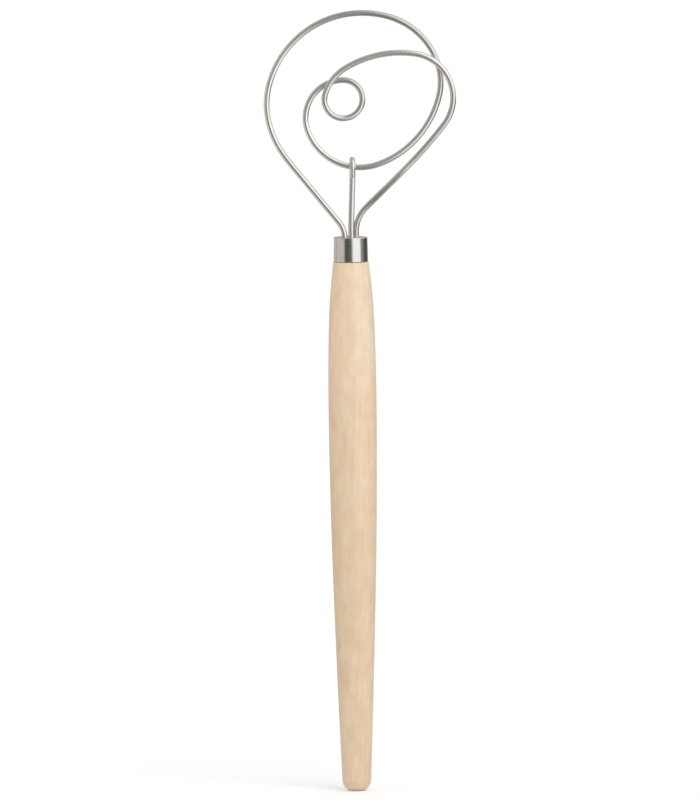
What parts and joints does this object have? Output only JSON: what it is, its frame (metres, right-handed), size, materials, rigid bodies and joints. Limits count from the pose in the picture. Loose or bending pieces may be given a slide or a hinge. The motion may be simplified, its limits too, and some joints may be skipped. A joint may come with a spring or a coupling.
{
  "type": "dough whisk",
  "caption": "Hand dough whisk with a turned wooden handle, a steel ferrule and a flat head of nested round wire loops.",
  "frame": {"origin": "centre of the flat end of the handle's butt", "axes": "+Z along the handle towards the head, +X across the head to the right, +Y from the head's front to its back"},
  "size_m": [0.0934, 0.0234, 0.3799],
  "materials": {
    "beech": "pale beech, sanded and oiled",
    "ferrule_steel": "polished drawn stainless steel",
    "wire_steel": "bright drawn stainless wire",
    "resin": "set adhesive"
  },
  "bodies": {
    "root": {"handle": "beech", "ferrule": "ferrule_steel", "loop_wire": "wire_steel", "centre_wire": "wire_steel", "resin": "resin"}
  },
  "joints": []
}
